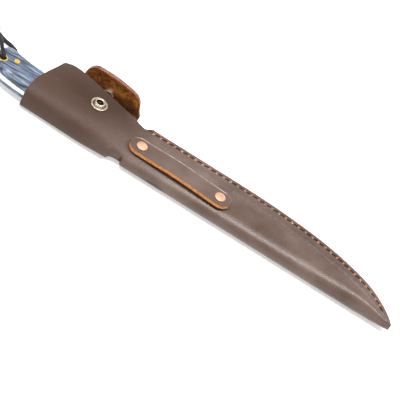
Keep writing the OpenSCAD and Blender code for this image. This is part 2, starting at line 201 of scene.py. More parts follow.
def lathe(profile, centre, steps=64):
    """A solid of revolution about +Z at centre, from (radius, height) points, axis to axis."""
    cx, cy, cz = centre
    angles = [2 * math.pi * k / steps for k in range(steps)]
    return loft([[(cx + r * math.cos(a), cy + r * math.sin(a), cz + z) for a in angles] for r, z in profile])


def edge_rounding(piece, width, segments=2, angle=40, unless=None):
    """Rounds the piece's sharp edges, leaving out those whose middle, in millimetres, meets unless()."""
    bevel = piece.modifiers.new("edge_rounding", "BEVEL")
    bevel.width = width * MM
    bevel.segments = segments
    bevel.harden_normals = False
    if not unless:
        bevel.limit_method = "ANGLE"
        bevel.angle_limit = math.radians(angle)
        return
    bevel.limit_method = "WEIGHT"
    mesh = bmesh.new()
    mesh.from_mesh(piece.data)
    weight = mesh.edges.layers.float.new("bevel_weight_edge")
    for edge in mesh.edges:
        if len(edge.link_faces) == 2 and edge.calc_face_angle(0) > math.radians(angle):
            middle = (edge.verts[0].co + edge.verts[1].co) / 2 / MM
            edge[weight] = 0.0 if unless(middle) else 1.0
    mesh.to_mesh(piece.data)
    mesh.free()


def on_wing_joint(p):
    """Where the collar's wing carries on from the front panel, with no cut edge between them."""
    return p.x < COLLAR_END_X and p.z > 9 and abs(p.y - wing_start_y(p.x)) < 0.9


# ---------------------------------------------------------------- camera
VIEW_ELEVATION = math.radians(42)
VIEW_ROLL = math.radians(31.9)      # the tip points down to the right
MM_PER_PIXEL = 0.66
FRAME_PIXELS = 416
CAMERA_DISTANCE = 2.0
LOOK_AT = Vector((97.4, -17.2, 8.0)) * MM


def add_camera():
    along_x = Vector((1, 0, 0))
    up_view = Vector((0, math.sin(VIEW_ELEVATION), math.cos(VIEW_ELEVATION)))
    right = along_x * math.cos(VIEW_ROLL) + up_view * math.sin(VIEW_ROLL)
    up = -along_x * math.sin(VIEW_ROLL) + up_view * math.cos(VIEW_ROLL)
    back = right.cross(up)
    data = bpy.data.cameras.new("camera")
    data.sensor_width = 36
    data.lens = 36 * CAMERA_DISTANCE / (MM_PER_PIXEL * FRAME_PIXELS * MM)
    data.clip_start = 0.01
    data.clip_end = 20
    camera = bpy.data.objects.new("camera", data)
    bpy.context.scene.collection.objects.link(camera)
    matrix = camera.matrix_world.copy()
    for row in range(3):
        matrix[row][0], matrix[row][1], matrix[row][2] = right[row], up[row], back[row]
        matrix[row][3] = LOOK_AT[row] + back[row] * CAMERA_DISTANCE
    camera.matrix_world = matrix
    bpy.context.scene.camera = camera


# ---------------------------------------------------------------- materials
class Nodes:
    """Short names for building a material's node tree."""

    def __init__(self, name):
        self.material = bpy.data.materials.new(name)
        self.material.use_nodes = True
        self.tree = self.material.node_tree
        self.shader = self.tree.nodes["Principled BSDF"]
        self.place = self.add("ShaderNodeTexCoord").outputs["Object"]

    def add(self, kind, **inputs):
        node = self.tree.nodes.new(kind)
        for key, value in inputs.items():
            node.inputs[key.replace("_", " ")].default_value = value
        return node

    def link(self, a, b):
        self.tree.links.new(a, b)

    def value(self, kind, a, b=0.5, c=0.5):
        node = self.tree.nodes.new("ShaderNodeMath")
        node.operation = kind
        for i, v in enumerate((a, b, c)):
            if isinstance(v, (int, float)):
                node.inputs[i].default_value = v
            else:
                self.link(v, node.inputs[i])
        return node.outputs[0]

    def scaled(self, factors):
        node = self.tree.nodes.new("ShaderNodeMapping")
        node.inputs["Scale"].default_value = factors
        self.link(self.place, node.inputs["Vector"])
        return node.outputs[0]

    def noise(self, size_mm, detail=3.0, rough=0.5, where=None, distortion=0.0):
        node = self.add("ShaderNodeTexNoise", Scale=1 / (size_mm * MM), Detail=detail, Roughness=rough,
                        Distortion=distortion)
        self.link(where or self.place, node.inputs["Vector"])
        return node.outputs["Fac"]

    def cells(self, size_mm):
        node = self.add("ShaderNodeTexVoronoi", Scale=1 / (size_mm * MM))
        self.link(self.place, node.inputs["Vector"])
        return node.outputs["Distance"]

    def ramp(self, value, *stops):
        node = self.tree.nodes.new("ShaderNodeValToRGB")
        ramp = node.color_ramp
        while len(ramp.elements) < len(stops):
            ramp.elements.new(0.5)
        for element, (place, colour) in zip(ramp.elements, stops):
            element.position = place
            element.color = (*srgb(colour), 1)
        self.link(value, node.inputs["Fac"])
        return node.outputs["Color"]

    def band(self, value, low, high, out_low=0.0, out_high=1.0):
        node = self.tree.nodes.new("ShaderNodeMapRange")
        node.interpolation_type = "SMOOTHSTEP"
        for key, v in (("From Min", low), ("From Max", high), ("To Min", out_low), ("To Max", out_high)):
            node.inputs[key].default_value = v
        self.link(value, node.inputs["Value"])
        return node.outputs["Result"]

    def mix(self, fac, a, b):
        node = self.tree.nodes.new("ShaderNodeMix")
        node.data_type = "RGBA"
        for key, v in ((0, fac), (6, a), (7, b)):
            if isinstance(v, tuple):
                node.inputs[key].default_value = (*srgb(v), 1)
            elif isinstance(v, (int, float)):
                node.inputs[key].default_value = v
            else:
                self.link(v, node.inputs[key])
        return node.outputs[2]

    def vector(self, kind, a, b=None):
        node = self.tree.nodes.new("ShaderNodeVectorMath")
        node.operation = kind
        self.link(a, node.inputs[0])
        if b is not None:
            node.inputs[1].default_value = b
        return node

    def near(self, centre_mm, radius_mm, soft_mm, stretch=(1, 1, 1)):
        """1 inside an ellipsoid round a point, falling to 0 outside."""
        offset = self.vector("SUBTRACT", self.place, [c * MM for c in centre_mm])
        scaled = self.vector("MULTIPLY", offset.outputs[0], stretch)
        length = self.vector("LENGTH", scaled.outputs[0])
        return self.band(length.outputs["Value"], radius_mm * MM, (radius_mm + soft_mm) * MM, 1.0, 0.0)

    def bump(self, height, distance_mm, strength=1.0, before=None):
        node = self.tree.nodes.new("ShaderNodeBump")
        node.inputs["Distance"].default_value = distance_mm * MM
        node.inputs["Strength"].default_value = strength
        self.link(height, node.inputs["Height"])
        if before is not None:
            self.link(before, node.inputs["Normal"])
        return node.outputs["Normal"]

    def axis(self, letter):
        node = self.tree.nodes.new("ShaderNodeSeparateXYZ")
        self.link(self.place, node.inputs[0])
        return node.outputs[letter]

    def done(self, colour, rough, normal=None, **plain):
        if isinstance(colour, tuple):
            self.shader.inputs["Base Color"].default_value = (*srgb(colour), 1)
        else:
            self.link(colour, self.shader.inputs["Base Color"])
        if isinstance(rough, (int, float)):
            self.shader.inputs["Roughness"].default_value = rough
        else:
            self.link(rough, self.shader.inputs["Roughness"])
        if normal is not None:
            self.link(normal, self.shader.inputs["Normal"])
        for key, v in plain.items():
            self.shader.inputs[key.replace("_", " ")].default_value = v
        return self.material


def srgb(colour):
    """An (r, g, b) of 0 to 255 as linear light."""
    return tuple((c / 255 / 12.92) if c <= 10 else ((c / 255 + 0.055) / 1.055) ** 2.4 for c in colour)


def leather_material(name="leather_grain", base=(90, 72, 63), dark=(74, 56, 47), light=(106, 88, 79)):
    """Smooth dark brown leather: quiet pull-up variation, fine pores and a few marks of use."""
    m = Nodes(name)
    cloud = m.noise(26, 4, 0.5)
    fine = m.noise(1.6, 4, 0.65)
    colour = m.ramp(cloud, (0.3, dark), (0.5, base), (0.74, light))
    colour = m.mix(m.band(fine, 0.5, 0.72, 0.0, 0.35), colour, dark)
    # Darker towards the collar and neck, and redder where the snap and the flap have worked it
    collar_darkening = m.band(m.axis("X"), -15 * MM, 78 * MM, 0.85, 0.0)
    colour = m.mix(collar_darkening, colour, (60, 38, 25))
    warm = m.near((0, 9, COLLAR_Z), 6, 19, (0.55, 1, 1))
    colour = m.mix(m.value("MULTIPLY", warm, 0.85), colour, (50, 25, 7))
    blotch = m.near((59, FOLD_Y, 2.6), 2.1, 2.7, (0.42, 1, 1))
    colour = m.mix(m.value("MULTIPLY", blotch, m.band(m.noise(3, 3), 0.2, 0.4)), colour, (14, 6, 6))
    scuff = m.band(m.noise(1.3, 2, 0.5, where=m.scaled((0.35, 1, 1))), 0.68, 0.8, 0.0, 0.16)
    colour = m.mix(scuff, colour, (150, 118, 96))
    pores = m.cells(0.7)
    grain = m.noise(0.8, 4, 0.65)
    normal = m.bump(pores, 0.12, 0.4)
    normal = m.bump(grain, 0.2, 0.4, normal)
    rough = m.value("ADD", m.band(cloud, 0.3, 0.7, 0.22, 0.28), m.band(fine, 0.3, 0.7, 0.0, 0.1))
    rough = m.value("ADD", rough, m.band(m.axis("X"), 5 * MM, 90 * MM, 0.28, 0.0))
    return m.done(colour, rough, normal, Specular_IOR_Level=0.36)


def flesh_material():
    """The leather's rough inner side: mottled dark and golden brown fibres, darkened low down by painted
    shade.
    """
    m = Nodes("leather_flesh")
    patches = m.noise(6, 5, 0.65, distortion=0.6)
    fibres = m.noise(0.8, 5, 0.7, where=m.scaled((0.5, 1, 1)))
    colour = m.ramp(patches, (0.3, (90, 48, 18)), (0.5, (162, 98, 42)), (0.72, (216, 150, 74)))
    colour = m.mix(m.band(fibres, 0.4, 0.65, 0.0, 0.5), colour, (60, 34, 16))
    # Painted shade: darker below 15 mm height, for the shaded foot of the flap.
    low = m.band(m.axis("Z"), 6 * MM, 15 * MM, 0.75, 0.0)
    colour = m.mix(low, colour, (34, 20, 12))
    normal = m.bump(fibres, 0.35, 0.6)
    normal = m.bump(patches, 0.6, 0.35, normal)
    return m.done(colour, 0.85, normal, Specular_IOR_Level=0.15)


def raw_edge_material(name="leather_raw_edge", dark=(138, 80, 36), base=(200, 128, 64),
                      light=(228, 166, 100)):
    """A cut, undyed leather edge."""
    m = Nodes(name)
    fibre = m.noise(0.6, 4, 0.7, where=m.scaled((0.3, 1, 1)))
    colour = m.ramp(fibre, (0.3, dark), (0.55, base), (0.8, light))
    return m.done(colour, 0.7, m.bump(fibre, 0.2, 0.5), Specular_IOR_Level=0.3)


def edge_highlight_material():
    """A painted highlight: the pale line along the strap's upper rounded edge."""
    m = Nodes("leather_painted_highlight_line")
    patches = m.noise(4, 3)
    return m.done(m.ramp(patches, (0.3, (104, 84, 74)), (0.7, (176, 158, 148))), 0.4, None)


def burnished_edge_material():
    """A rubbed, waxed edge: smooth, mauve brown, with the layers just showing."""
    m = Nodes("leather_burnished_edge")
    layers = m.noise(0.9, 3, 0.6, where=m.scaled((0.15, 0.15, 1)))
    patches = m.noise(9, 3)
    colour = m.ramp(layers, (0.3, (84, 56, 50)), (0.55, (116, 86, 80)), (0.8, (138, 108, 102)))
    colour = m.mix(m.band(patches, 0.55, 0.7, 0.0, 0.6), colour, (92, 62, 50))
    return m.done(colour, 0.42, m.bump(layers, 0.15, 0.35), Specular_IOR_Level=0.5)


def wood_material():
    """Laminated, dyed blue-grey wood with dark wavy grain lines along the handle."""
    m = Nodes("laminated_wood")
    bend = m.noise(26, 2, 0.5)
    place = m.tree.nodes.new("ShaderNodeVectorMath")
    place.operation = "ADD"
    shift = m.tree.nodes.new("ShaderNodeCombineXYZ")
    m.link(m.value("MULTIPLY", bend, 6 * MM), shift.inputs["Y"])
    m.link(m.value("MULTIPLY", bend, 4 * MM), shift.inputs["Z"])
    m.link(m.scaled((0.12, 1, 1)), place.inputs[0])
    m.link(shift.outputs[0], place.inputs[1])
    lines = m.noise(2.1, 5, 0.6, where=place.outputs[0], distortion=0.5)
    fine = m.noise(0.5, 4, 0.7, where=m.scaled((0.06, 1, 1)))
    colour = m.ramp(lines, (0.36, (20, 27, 38)), (0.45, (58, 70, 88)), (0.54, (96, 110, 132)),
                    (0.66, (124, 134, 158)), (0.78, (154, 158, 184)))
    colour = m.mix(m.band(fine, 0.5, 0.62, 0.0, 0.6), colour, (30, 38, 50))
    normal = m.bump(fine, 0.06, 0.4)
    return m.done(colour, m.band(lines, 0.3, 0.7, 0.42, 0.3), normal, Specular_IOR_Level=0.5,
                  Coat_Weight=0.25, Coat_Roughness=0.2)


def steel_material():
    """Satin stainless steel, brushed along the blade, with plain depth marks across it; the blade beyond the
    handle is darkened with painted shade.
    """
    m = Nodes("satin_steel")
    brushed = m.noise(0.5, 3, 0.6, where=m.scaled((0.02, 1, 1)))
    patches = m.noise(14, 3)
    colour = m.ramp(patches, (0.3, (196, 198, 202)), (0.7, (226, 227, 230)))
    # Painted shade: the blade beyond the handle is painted darker than the tang.
    colour = m.mix(m.band(m.axis("X"), 22 * MM, 32 * MM), colour, (122, 126, 132))
    marks = m.value("FRACT", m.value("DIVIDE", m.axis("X"), 10 * MM))
    on_mark = m.value("LESS_THAN", m.value("ABSOLUTE", m.value("SUBTRACT", marks, 0.5)), 0.03)
    on_blade = m.band(m.axis("X"), 60 * MM, 61 * MM)
    in_row = m.value("LESS_THAN", m.value("ABSOLUTE", m.value("ADD", m.axis("Y"), 5 * MM)), 3.2 * MM)
    marked = m.value("MULTIPLY", m.value("MULTIPLY", on_mark, on_blade), in_row)
    colour = m.mix(marked, colour, (70, 72, 76))
    return m.done(colour, m.band(brushed, 0.3, 0.7, 0.24, 0.4), m.bump(brushed, 0.03, 0.4), Metallic=1.0)


def metal_material(name, colour, light, rough, wear=0.1, hollow=False):
    """Plated or polished metal with fine handling marks; hollow paints shade into the stud's gap round the
    knob and into its bore.
    """
    m = Nodes(name)
    patches = m.noise(4, 3, 0.5)
    scratches = m.noise(0.35, 3, 0.6, where=m.scaled((0.1, 1, 1)))
    tint = m.mix(m.band(patches, 0.35, 0.7), colour, light)
    if hollow:
        # Painted shade: a dark ring in the gap round the stud's knob, and a dark bore.
        axis, flat = (0, 0, 0), (1, 1, 0)
        gap = m.value("SUBTRACT", m.near(axis, 4.5, 0.4, flat), m.near(axis, 3.6, 0.3, flat))
        tint = m.mix(m.value("MULTIPLY", gap, 0.75), tint, (60, 50, 40))
        tint = m.mix(m.near(axis, 2.35, 0.15, flat), tint, (36, 32, 30))
    shine = m.value("ADD", m.band(patches, 0.3, 0.7, rough, rough + wear),
                    m.band(scratches, 0.6, 0.7, 0.0, 0.08))
    return m.done(tint, shine, m.bump(scratches, 0.01, 0.12), Metallic=1.0)


def thread_material():
    m = Nodes("waxed_thread")
    twist = m.noise(0.35, 3, 0.6)
    colour = m.ramp(twist, (0.3, (30, 16, 11)), (0.6, (58, 34, 24)), (0.85, (92, 60, 46)))
    return m.done(colour, 0.5, m.bump(twist, 0.12, 0.7))


def cord_material():
    """Black braided polyester cord; the braid itself is in the mesh."""
    m = Nodes("braided_cord")
    fibre = m.noise(0.25, 4, 0.7)
    colour = m.ramp(fibre, (0.3, (9, 10, 12)), (0.6, (24, 26, 30)), (0.85, (56, 60, 66)))
    return m.done(colour, 0.62, m.bump(fibre, 0.1, 0.6), Specular_IOR_Level=0.3)


def floor_material():
    m = Nodes("floor")
    m.shader.inputs["Emission Color"].default_value = (1, 1, 1, 1)
    return m.done((225, 225, 225), 0.9, None, Specular_IOR_Level=0.0, Emission_Strength=0.48)


GRAIN = leather_material()
STRAP_GRAIN = leather_material("strap_grain", (92, 74, 66), (76, 58, 50), (106, 88, 80))
FLESH = flesh_material()
RAW = raw_edge_material()
WORN = raw_edge_material("leather_worn_edge", (84, 48, 24), (138, 84, 46), (176, 118, 72))
BURNISHED = burnished_edge_material()
EDGE_HIGHLIGHT = edge_highlight_material()
WOOD = wood_material()
STEEL = steel_material()
BRASS = metal_material("polished_brass", (226, 180, 60), (250, 218, 96), 0.3)
COPPER = metal_material("pale_copper", (208, 164, 136), (226, 184, 156), 0.5)
NICKEL = metal_material("warm_nickel", (184, 170, 148), (216, 204, 184), 0.3, hollow=True)
THREAD = thread_material()
WAX = Nodes("wax_speck").done((206, 192, 180), 0.5)
CORD = cord_material()


# ---------------------------------------------------------------- lanyard
CORD_ROUTE = [
    (-69.7, -8, 11), (-69.7, -8, 14), (-70, -7.3, 17), (-71, -6.4, 18.8), (-72.6, -4.6, 19.4),
    (-74.9, -0.8, 18.7), (-77.6, 5.6, 16.6), (-80.5, 12.5, 12.8), (-84, 18.7, 8.2), (-87.3, 22.7, 5.2),
    (-90.6, 24.6, 4.4),
    (-95, 25.8, 3.2), (-101.5, 25.2, 1.8), (-109, 22.8, 1.6), (-117.5, 21.4, 1.6), (-125.5, 23.8, 1.6),
    (-130.5, 29.8, 1.6), (-130.3, 37.2, 1.6), (-125, 42.6, 1.6), (-117, 43.6, 1.6), (-109, 40.6, 1.6),
    (-101.5, 35.8, 1.8), (-95.3, 31, 3.2), (-89.4, 28, 4.4), (-84.3, 26.6, 3), (-78.8, 25.2, 1.7),
    (-73, 24, 1.6), (-68, 21.6, 1.6), (-65.2, 17, 1.6), (-64.7, 10.5, 1.6), (-65.6, 3.5, 1.6),
    (-67.6, -2, 1.7), (-69.3, -5.2, 2.7), (-69.8, -7.2, 5), (-69.8, -8, 9),
]
KNOT_AT = Vector((-90, 26.1, 4.5))
KNOT_TURN = math.radians(158)
KNOT_WRAPS = 2.9
KNOT_LENGTH, KNOT_WIDE, KNOT_HIGH = 8.4, 3.6, 2.75


def catmull(points, step):
    """A smooth line through points, sampled about every step."""
    pts = [Vector(p) for p in points]
    pts = [2 * pts[0] - pts[1]] + pts + [2 * pts[-1] - pts[-2]]
    line = []
    for a, b, c, d in zip(pts, pts[1:], pts[2:], pts[3:]):
        count = max(2, int((c - b).length / step))
        for k in range(count):
            t = k / count
            line.append(0.5 * ((2 * b) + (c - a) * t + (2 * a - 5 * b + 4 * c - d) * t * t
                               + (3 * b - a - 3 * c + d) * t ** 3))
    line.append(pts[-2])
    return line


def frames_along(line):
    """(point, side, up, distance) along a line, with a side that never twists."""
    out, gone = [], 0.0
    side = None
    for i, p in enumerate(line):
        ahead = line[min(i + 1, len(line) - 1)] - line[max(i - 1, 0)]
        ahead.normalize()
        if side is None:
            side = Vector((1, 0, 0)) if abs(ahead.x) < 0.9 else Vector((0, 1, 0))
        side = (side - ahead * side.dot(ahead)).normalized()
        if i:
            gone += (p - line[i - 1]).length
        out.append((p, side.copy(), ahead.cross(side), gone))
    return out


BRAID_TURN = 7.0                    # a strand goes once round in this many millimetres
BRAID_STRANDS = 8


def braid_radius(angle, distance, radius):
    """The height of two sets of strands that wind opposite ways and pass over and under each other."""
    turn = 2 * math.pi * distance / BRAID_TURN
    one = math.cos(BRAID_STRANDS / 2 * (angle + turn))
    two = math.cos(BRAID_STRANDS / 2 * (angle - turn))
    over = math.cos(BRAID_STRANDS / 2 * angle + math.pi * 0.5)
    ridge = max(abs(one) * (0.8 + 0.2 * over), abs(two) * (0.8 - 0.2 * over))
    return radius * (0.90 + 0.10 * ridge)


def braided_tube(line, radius, sides=20):
    rings = []
    for p, side, up, gone in frames_along(line):
        ring = []
        for k in range(sides):
            a = 2 * math.pi * k / sides
            r = braid_radius(a, gone, radius)
            ring.append(p + r * (side * math.cos(a) + up * math.sin(a)))
        rings.append(ring)
    return loft(rings)


def add_lanyard():
    line = catmull(CORD_ROUTE, 0.45)
    points, faces, mats = braided_tube(line, CORD_D / 2)
    cord = make_mesh("lanyard_braid", points, faces, mats, [CORD], "knife", "cord", ["lanyard_cord"],
                     sharp=0)
    axis = Vector((math.cos(KNOT_TURN), math.sin(KNOT_TURN), 0))
    flat = Vector((-math.sin(KNOT_TURN), math.cos(KNOT_TURN), 0))
    wrap = []
    for k in range(int(KNOT_WRAPS * 40) + 1):
        t = k / 40
        a = 2 * math.pi * t
        wrap.append(KNOT_AT + axis * ((t / KNOT_WRAPS - 0.5) * KNOT_LENGTH) + flat * (KNOT_WIDE * math.cos(a))
                    + Vector((0, 0, 1)) * (KNOT_HIGH * math.sin(a)))
    points, faces, mats = braided_tube(wrap, CORD_D / 2 * 0.97)
    knot = make_mesh("lanyard_knot_wrap", points, faces, mats, [CORD], "knife", "cord", ["lanyard_knot"],
                     sharp=0)


# ---------------------------------------------------------------- sheath shapes
def seam_y(x):
    u = max(0.0, min(0.9965, (x - CURVE_X) / (CURVE_END_X - CURVE_X)))
    return FOLD_Y + (SEAM_Y - FOLD_Y) * (1 - u ** 3) ** 0.65


def seam_slope(x):
    return (seam_y(x + 0.2) - seam_y(x - 0.2)) / 0.4


def seam_inset(x, d):
    """The point at distance d inside the seam edge, square to it."""
    s = seam_slope(x)
    size = math.sqrt(1 + s * s)
    return x + d * s / size, seam_y(x) - d / size


def fold_line(x):
    """The fold edge, rounded off into the tip."""
    return FOLD_Y + 1.6 * smooth((x - POINT_X + 5) / 5) ** 2


def notch(x):
    """0 to 1 across the relief notch that is cut in the fold where the collar ends."""
    return smooth((x - COLLAR_END_X + 5.4) / 2.4) * (1 - smooth((x - COLLAR_END_X - 4.2) / 1.5))


NOTCH_DEPTH = 3.1


def top_z(x):
    return lerp(COLLAR_Z, CROWN_Z, smooth((x - NECK_X) / (WAIST_X - NECK_X)))


CORNER_X = MOUTH_X + 9.9
FREE_EDGE_Y = [(CORNER_X, 14.0), (-33, 15.2), (-30, 16.2), (-26.7, 16.6), (-18, 16.0), (-5, 14.2), (8, 13.6),
               (21, 14.2), (26, 14.2), (30, 13.2), (34.5, 12.9), (37.2, 15.2), (39, SEAM_Y)]
FREE_EDGE_Z = [(CORNER_X, 22.4), (-26.7, 22.8), (-18, 22.5), (-5, 21.0), (8, 18.4), (21, 14.2), (27, 12.7),
               (34, 11.8), (39, SEAM_TOP)]
WING_Y = 4.8


def front_edge_y(x):
    return along(FREE_EDGE_Y, x) if x < 39 else seam_y(x)


def wing_start_y(x):
    """Where the soft wing takes over from the front panel; it runs out at the wing's far end."""
    return lerp(WING_Y, front_edge_y(x), smooth((x - 8) / (COLLAR_END_X - 0.4 - 8)))


def seam_margin(x):
    """How far the sewn flat reaches in from the edge, and how wide the slope up from it is."""
    width = seam_y(x) - fold_line(x)
    return min(5.2 * math.sqrt(1 + seam_slope(x) ** 2), width * 0.3), min(14.0, width * 0.42)


def tip_thin(x):
    return smooth((x - POINT_X + 28) / 28)


def front_z(x, y):
    """Height of the front panel's outside."""
    fold = fold_line(x)
    edge = seam_y(x)
    width = edge - fold
    crown = min(top_z(x), SEAM_TOP + width * 0.12)
    margin, slope_w = seam_margin(x)
    sewn = SEAM_TOP + (crown - SEAM_TOP) * smooth((edge - margin - y) / slope_w)
    if x > 42:
        return sewn - 2.0 * tip_thin(x)
    reach = max(0.0, (y + 3) / max(1.0, front_edge_y(x) + 3))
    loose = top_z(x) + (along(FREE_EDGE_Z, x) - top_z(x)) * reach ** 2.2
    return lerp(loose, sewn, smooth((x - 24) / 15))


def lining_z(x, y):
    """The front panel's inside: a leather's thickness down, but pressed up clear of the blade."""
    top = front_z(x, y)
    plain = top - LEATHER
    clear = min(BLADE_TOP + BLADE_ROOM, top - THIN_LEATHER)
    beside_seam = smooth((seam_y(x) - seam_margin(x)[0] - y) / 2.5)
    return plain + max(0.0, clear - plain) * beside_seam * smooth((x - 34) / 6)


def rear_z(x, y):
    """Height of the rear panel's outside: flat on the floor, rising to the seam."""
    fold = fold_line(x)
    edge = seam_y(x)
    width = edge - fold
    margin, slope_w = seam_margin(x)
    sewn = SEAM_RISE * (1 - smooth((edge - margin - y) / slope_w))
    lifted = max(sewn, SEAM_RISE * (1 - smooth((width - 3) / 20)) * 0.8)
    return lifted * smooth((x - COLLAR_END_X + 2) / 12) + 1.3 * tip_thin(x)


def mouth_fade(x):
    return max(0.0, 1 - (x - MOUTH_X) / 34) ** 2


def mouth_cut(x, y):
    """The front panel's mouth is cut back towards its free edge, and the fold stands out a little."""
    shift = 9.9 * max(0.0, (y + 15) / 29) ** 1.5 - 1.1 * smooth((-13 - y) / 8)
    return x + shift * mouth_fade(x)


def relief(x, y, z, side):
    """Small unevenness of hand-worked leather, the stitch groove and the neck's creases."""
    h = 0.14 * wobble(x, y, z, 26, 2) + 0.03 * wobble(x, y, z, 6, 5)
    d = (seam_y(x) - y) / math.sqrt(1 + seam_slope(x) ** 2)
    if x > 40:
        h -= 0.26 * math.exp(-((d - STITCH_INSET) / 1.0) ** 2)
        h -= 0.5 * max(0.0, 1 - d / 1.3) ** 2
    if side > 0 and -10 < x < 45:
        for at, tilt, depth in ((27.5, 0.45, 0.1), (30.5, 0.35, 0.08), (25.0, 0.6, 0.06)):
            line = at + tilt * (y + 2)
            h -= depth * math.exp(-((x - line) / 1.1) ** 2) * smooth((y + 20) / 14)
    return h


def station_list():
    xs = [MOUTH_X + 1.1 * i for i in range(int((TIP_X - 12 - MOUTH_X) / 1.1))]
    xs = sorted(xs + [COLLAR_END_X - 5.5 + 0.6 * i + 0.05 for i in range(19)])
    last = xs[-1]
    xs += [last + (POINT_X - last) * math.sin(math.pi / 2 * k / 30) for k in range(1, 31)]
    return xs


def rear_edge_y(x):
    """The rear panel ends at the flap's fold beside the flap, and a little further out near the mouth."""
    if x < COLLAR_END_X:
        return along([(-44.5, 4.2), (-36, 7.4), (-22, 7.4), (-18.6, 5.2), (-17.9, 3.9), (27, 3.9)], x)
    return lerp(3.9, seam_y(x), smooth((x - COLLAR_END_X) / 10)) if x < COLLAR_END_X + 10 else seam_y(x)


def body_row(x, inside):
    """One line of points across the sheath, from the rear panel's edge round the fold to the front's edge."""
    fold = fold_line(x)
    width = seam_y(x) - fold
    collar = 1 - smooth((x - 2) / 26)
    room = min(lerp(8.0, 5.0, collar), width * 0.38)
    crest = width - sum(seam_margin(x)) * smooth((x - 24) / 15)
    shoulder = min(lerp(14.0, 8.0, collar), crest * 0.7) if inside else min(lerp(20.0, 23.0, collar), crest)
    bulge = (1 - smooth((x - COLLAR_END_X + 4) / 5)) * lerp(0.5, 1.7, smooth((x - MOUTH_X) / 50))
    t = LEATHER if inside else 0.0
    deep = min(t, room * 0.75)
    y0, top_y0 = fold + room, fold + shoulder
    rear = max(rear_edge_y(x), y0 + 0.3)
    front = max(wing_start_y(x) if x < COLLAR_END_X else front_edge_y(x), top_y0 + 0.3)
    row = []
    for k in range(30):
        y = lerp(rear, y0, k / 30)
        z = rear_z(x, y)
        row.append((x, y, z + t - relief(x, y, z, -1) * (0 if inside else 1) * smooth((x - 30) / 20)))
    low, high = rear_z(x, y0) + t, (lining_z if inside else front_z)(x, top_y0)
    mid = lerp(low, high, lerp(0.46, 0.33, collar))
    power = 2 / lerp(2.5 if inside else 2.1, 2.12 if inside else 2.8, collar)
    for k in range(37):
        a = math.pi / 2 * (k / 12 if k <= 12 else 1 + (k - 12) / 24)
        rise = abs(math.cos(a))
        cut = notch(x) * (0.9 if inside else NOTCH_DEPTH)
        if k <= 12:
            y = y0 - (room - deep - cut - 2.2 * notch(x) * rise + bulge) * math.sin(a)
            z = mid - (mid - low) * rise
        else:
            y = top_y0 - (shoulder - deep - (cut - bulge) * (1 - rise) ** 2) * math.sin(a) ** power
            z = mid + (high - mid) * rise ** power
        if not inside:
            y -= relief(x, y, z, 0) * math.sin(a)
        row.append((lerp(x, mouth_cut(x, y), smooth((k - 6) / 20)), y, z))
    for k in range(1, 43):
        y = lerp(top_y0, front, k / 42)
        px = mouth_cut(x, y)
        z = lining_z(px, y) if inside else front_z(px, y)
        row.append((px, y, z + (0 if inside else relief(px, y, z, 1))))
    return row


def add_sheath_leather():
    xs = station_list()
    outer = [body_row(x, False) for x in xs]
    inner = [body_row(x, True) for x in xs]
    points, faces, mats = shell(outer, inner, (0, 1, 0, 2))
    for k, face in enumerate(faces):
        x, y, z = (sum(points[v][axis] for v in face) / len(face) for axis in range(3))
        if mats[k] == 0 and notch(x) > 0.1 and x > COLLAR_END_X + 3.2 and y < FOLD_Y + 6 and z < 9:
            mats[k] = 1
        elif mats[k] == 0 and x > 38 and z > SEAM_TOP - 2:
            if seam_y(x) - y < 1.5 * math.sqrt(1 + seam_slope(x) ** 2):
                mats[k] = 2
    piece = make_mesh("sheath_leather", points, faces, mats, [GRAIN, FLESH, BURNISHED], "sheath", "leather",
                      ["sheath_body"], sharp=50)
    edge_rounding(piece, 0.4, unless=on_wing_joint)


def add_wing():
    """The collar's soft free edge as a piece of its own; the real edge gives way when the flap folds over it.
    """
    n, cols = 70, 26
    xs = [lerp(MOUTH_X, COLLAR_END_X - 0.45, i / n) for i in range(n + 1)]

    def grid(inside):
        rows = []
        for x in xs:
            y0 = wing_start_y(x) - 0.5
            x0 = mouth_cut(x, y0)
            x1 = x + 9.9 * mouth_fade(x)
            y1 = max(y0 + 0.05, front_edge_y(x1))
            row = []
            for k in range(cols + 1):
                t = k / cols
                px, py = lerp(x0, x1, t), lerp(y0, y1, t)
                z = front_z(px, py) - (LEATHER if inside else 0)
                row.append((px, py, z + (-0.02 if inside else 0.02 + relief(px, py, z, 1))))
            rows.append(row)
        return rows

    points, faces, mats = shell(grid(False), grid(True), (0, 1, 0, 2))
    piece = make_mesh("collar_wing_leather", points, faces, mats, [GRAIN, FLESH, BURNISHED], "sheath",
                      "leather", ["collar_wing"], sharp=50)
    edge_rounding(piece, 0.4, unless=on_wing_joint)
    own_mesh(piece)


def add_welt():
    xs = [lerp(COLLAR_END_X + 11, POINT_X - 1.5, math.sin(math.pi / 2 * k / 90)) for k in range(91)]
    rings = []
    for x in xs:
        out = seam_y(x) - 0.25
        deep = max(out - 5.3 * math.sqrt(1 + seam_slope(x) ** 2), FOLD_Y + 2.6)
        deep = min(deep, out - 0.3)
        rings.append([(x, out, SEAM_RISE + LEATHER - 0.05), (x, out + 0.1, SEAM_RISE + LEATHER + 1.6),
                      (x, out, SEAM_TOP - LEATHER + 0.05), (x, deep, SEAM_TOP - LEATHER + 0.05),
                      (x, deep, SEAM_RISE + LEATHER - 0.05)])
    points, faces, mats = loft(rings)
    make_mesh("welt_strip", points, faces, mats, [BURNISHED], "sheath", "leather_edge", ["welt"])


# ---------------------------------------------------------------- stitches
def stitch_places():
    """x of each stitch along the seam, a pitch apart along the curve."""
    x, out = WAIST_X + 6.5, []
    while x < POINT_X - 5.5:
        out.append(x)
        x += STITCH_PITCH / math.sqrt(1 + seam_slope(x) ** 2)
    return out


